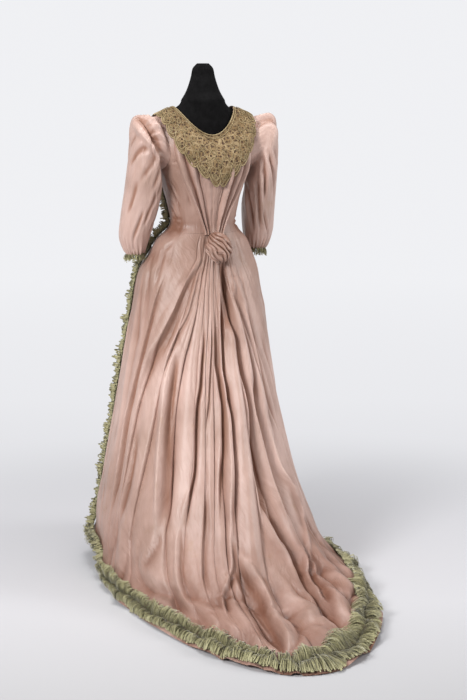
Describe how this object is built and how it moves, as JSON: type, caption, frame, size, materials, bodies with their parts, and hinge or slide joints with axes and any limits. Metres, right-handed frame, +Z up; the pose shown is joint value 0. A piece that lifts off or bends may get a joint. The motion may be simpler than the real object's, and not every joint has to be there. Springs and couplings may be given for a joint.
{
  "type": "ball gown with a train on a limbless dress form",
  "caption": "Full-length ball gown with elbow sleeves, a pointed lace collar, a knotted back drape, a pleated train and ruched edges, on a limbless dress form with a pole and a round base.",
  "frame": {"origin": "on the floor under the middle of the waist, at the centre of the underside of the form's round base", "axes": "+Z up, the gown's front faces -Y, the train runs back along +Y and the wearer's left is +X"},
  "size_m": [0.7887, 1.3872, 1.581],
  "materials": {
    "rose_silk": "soft satin",
    "green_silk": "frayed silk",
    "gold_lace": "matte",
    "form_cover": "matte",
    "form_stand": "satin"
  },
  "bodies": {
    "root": {"front_left": "rose_silk", "front_right": "rose_silk", "side_front_left": "rose_silk", "side_front_right": "rose_silk", "side_back_left": "rose_silk", "side_back_right": "rose_silk", "centre_back": "rose_silk", "train_left_side": "rose_silk", "train_left": "rose_silk", "train_middle": "rose_silk", "train_right": "rose_silk", "train_right_side": "rose_silk", "back_drape": "rose_silk", "knot": "rose_silk", "sleeve_left": "rose_silk", "sleeve_right": "rose_silk", "cuff_ruche_left": "green_silk", "cuff_ruche_right": "green_silk", "front_ruche_left": "green_silk", "front_ruche_right": "green_silk", "hem_ruche_train": "green_silk", "hem_ruche_left": "green_silk", "hem_ruche_right": "green_silk", "collar_back": "gold_lace", "collar_front": "gold_lace", "form_body": "form_cover", "form_pole": "form_stand", "form_base": "form_stand"}
  },
  "joints": []
}
